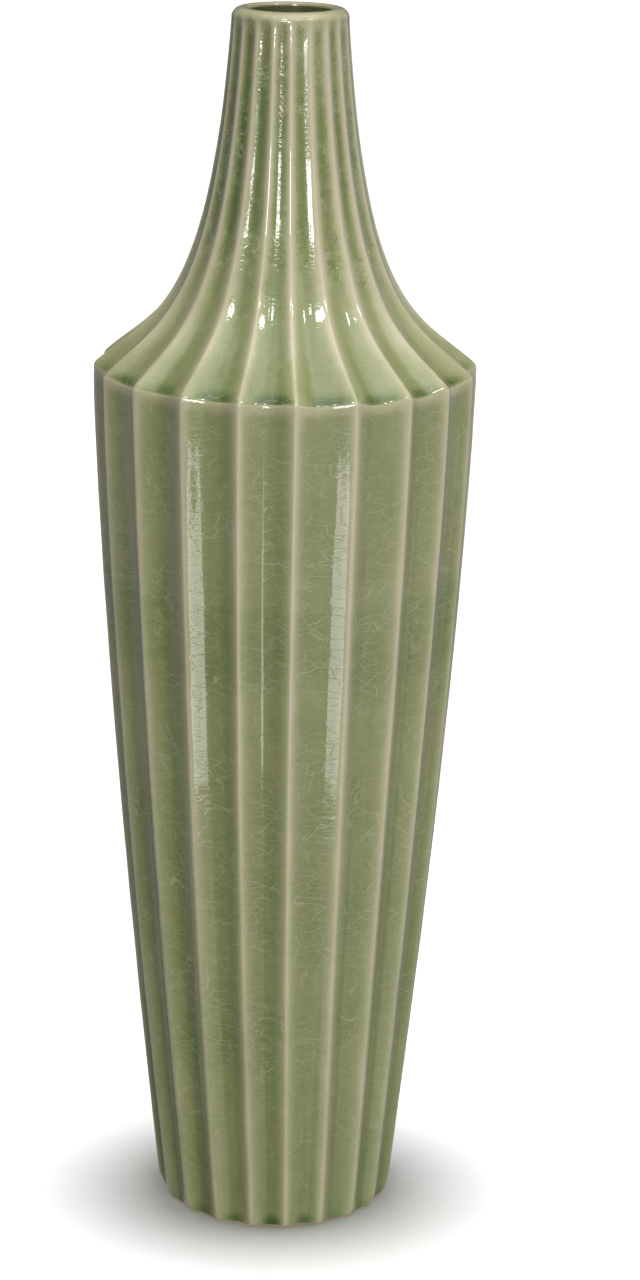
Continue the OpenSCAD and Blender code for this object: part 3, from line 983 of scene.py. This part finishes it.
def studio_floor():
    """A wide sheet of white paper that only the camera sees, with the vase's shadow on it."""
    half = 30.0
    mesh = bpy.data.meshes.new("studio_floor")
    mesh.from_pydata([(-half, -half, 0), (half, -half, 0), (half, half, 0), (-half, half, 0)],
                     [], [(0, 1, 2, 3)])
    floor = linked("studio_floor", mesh)
    paper = Tree("studio_paper")
    shade = paper.noise(paper.place(), 0.004, 2.0)
    paper.put(paper.shader.inputs["Base Color"],
              paper.ramp(shade, [(0.0, (0.94, 0.94, 0.94)), (1.0, (0.96, 0.96, 0.96))]))
    paper.set({"Roughness": 0.9, "Specular IOR Level": 0.0})
    mesh.materials.append(paper.material)
    floor.visible_glossy = False
    floor.visible_diffuse = False
    floor.visible_shadow = False


def studio_world():
    """White where it is seen directly, and a faint even light otherwise."""
    world = bpy.data.worlds.new("studio_world")
    scene.world = world
    world.use_nodes = True
    nodes, links = world.node_tree.nodes, world.node_tree.links
    nodes["Background"].inputs["Color"].default_value = (1, 1, 1, 1)
    rays = nodes.new("ShaderNodeLightPath")
    bright = nodes.new("ShaderNodeMath")
    bright.operation = "MAXIMUM"
    bright.inputs[1].default_value = AMBIENT
    links.new(rays.outputs["Is Camera Ray"], bright.inputs[0])
    links.new(bright.outputs[0], nodes["Background"].inputs["Strength"])


def aim(obj, place, target):
    """Puts a light or pane at a place, facing a target."""
    obj.location = place
    obj.rotation_euler = (Vector(target) - Vector(place)).to_track_quat("-Z", "Y").to_euler()


def panel(name, place, target, width, height_m, watts):
    """A soft box that only shows as a reflection."""
    lamp = bpy.data.lights.new(name, "AREA")
    lamp.shape = "RECTANGLE"
    lamp.size, lamp.size_y = width, height_m
    lamp.energy = watts
    obj = linked(name, lamp)
    aim(obj, place, target)
    obj.visible_camera = False
    obj.visible_diffuse = False


def dome(name, direction, strength, spread):
    """Light from a round patch of sky, as wide as its spread in degrees, that isn't reflected."""
    lamp = bpy.data.lights.new(name, "SUN")
    lamp.energy = strength
    lamp.angle = math.radians(spread)
    obj = linked(name, lamp)
    aim(obj, Vector(direction), (0, 0, 0))
    obj.visible_glossy = False


def window(name, place, target, corners, strength):
    """A glowing pane, with corners in its own plane, that only shows as a reflection."""
    mesh = bpy.data.meshes.new(name)
    mesh.from_pydata([(x, y, 0) for x, y in corners], [], [tuple(range(len(corners)))])
    obj = linked(name, mesh)
    aim(obj, place, target)
    glow = Tree(name)
    glow.set({"Base Color": (0, 0, 0, 1), "Emission Color": (1, 1, 1, 1), "Emission Strength": strength})
    mesh.materials.append(glow.material)
    obj.visible_camera = False
    obj.visible_diffuse = False
    obj.visible_shadow = False


studio_floor()
studio_world()

# Light on the vase and the paper: from above, and low from the front, the side and behind
dome("above_left", (-0.56, 0.05, 1.0), 0.40, 34)
dome("above_middle", (0.004, 0.020, 1.0), 2.80, 12)
dome("above_right", (0.54, 0.05, 1.0), 0.50, 34)
dome("front", (0.32, -1.0, -0.12), 2.7, 42)
dome("side", (-1.0, -0.30, -0.10), 0.34, 60)
dome("behind", (-0.25, 1.0, -0.26), 1.5, 50)

# What the glaze reflects: a tall window that narrows upwards, soft boxes, and the table all round
window_sides = [
    (0.050, -0.150), (0.056, -0.10), (0.054, -0.03), (0.040, 0.03), (0.022, 0.08), (0.005, 0.135)]
window("low_window", (-0.165, -0.88, -0.035), (0.0, -0.07, 0.20),
       [(-w, h) for w, h in window_sides] + [(w, h) for w, h in window_sides[::-1]], 5.4)
panel("high_window", (-0.300, -1.500, 0.815), (0.0, -0.02, 0.45), 0.44, 0.29, 9.0)
panel("lip_window", (-0.300, -1.500, 0.520), (0.0, -0.02, 0.505), 0.44, 0.04, 1.2)
panel("top_window", (-0.15, -0.65, 1.04), (0.0, -0.05, 0.40), 0.14, 0.10, 1.2)
panel("top_front", (0.22, -0.72, 1.08), (0.0, -0.05, 0.40), 0.09, 0.07, 0.5)
panel("top_right", (0.62, -0.62, 1.20), (0.0, -0.05, 0.40), 0.16, 0.13, 1.8)
window("table", (0.0, 0.0, -0.26), (0.0, 0.0, -1.0),
       [(0.03, -0.20), (-1.30, -3.6), (3.8, -3.6), (3.8, 0.2), (0.6, -0.05)], 0.52)
window("table_back", (0.0, 0.0, -0.26), (0.0, 0.0, -1.0),
       [(-0.3, 0.25), (-3.8, 1.0), (-3.8, 3.8), (3.8, 3.8), (3.8, 0.6), (0.5, 0.25)], 0.30)
# A ceiling that is brighter towards its middle, from four panels in metres that overlap there, each
# with its watts to the square metre
CEILING_W, CEILING_D, CEILING_WATTS = 2.6, 2.0, 1.54
for i, edge in enumerate((-1.0, -0.35, 0.25, 0.8)):
    panel("ceiling_%d" % i, (0.2, -0.6, 2.2 + 0.01 * i), (0.0, 0.0, 0.4), CEILING_W + edge,
          CEILING_D + edge, CEILING_WATTS * (CEILING_W + edge) * (CEILING_D + edge))
panel("back_left", (-2.2, 1.6, 0.1), (0.0, 0.0, 0.2), 3.0, 2.6, 4.0)
panel("back_right", (2.2, 1.6, 0.1), (0.0, 0.0, 0.2), 3.0, 2.6, 9.0)

LENS = 103.47                               # millimetres
CAMERA_Y, CAMERA_Z = -1.504397, 0.687081    # metres
PITCH, YAW, ROLL = 0.28253, 0.010789, 0.016876

camera_data = bpy.data.cameras.new("camera")
camera_data.sensor_fit = "VERTICAL"
camera_data.sensor_height = 36.0
camera_data.lens = LENS
camera_data.clip_end = 100.0
camera = linked("camera", camera_data)
scene.camera = camera
forward = Vector((math.sin(YAW) * math.cos(PITCH), math.cos(YAW) * math.cos(PITCH), -math.sin(PITCH)))
right = Vector((math.cos(YAW), -math.sin(YAW), 0))
up = right.cross(forward)
cam_x = math.cos(ROLL) * right + math.sin(ROLL) * up
cam_y = -math.sin(ROLL) * right + math.cos(ROLL) * up
camera.matrix_world = Matrix((
    (cam_x.x, cam_y.x, -forward.x, 0),
    (cam_x.y, cam_y.y, -forward.y, CAMERA_Y),
    (cam_x.z, cam_y.z, -forward.z, CAMERA_Z),
    (0, 0, 0, 1)))
scene.view_settings.view_transform = "Standard"

bpy.context.view_layer.update()
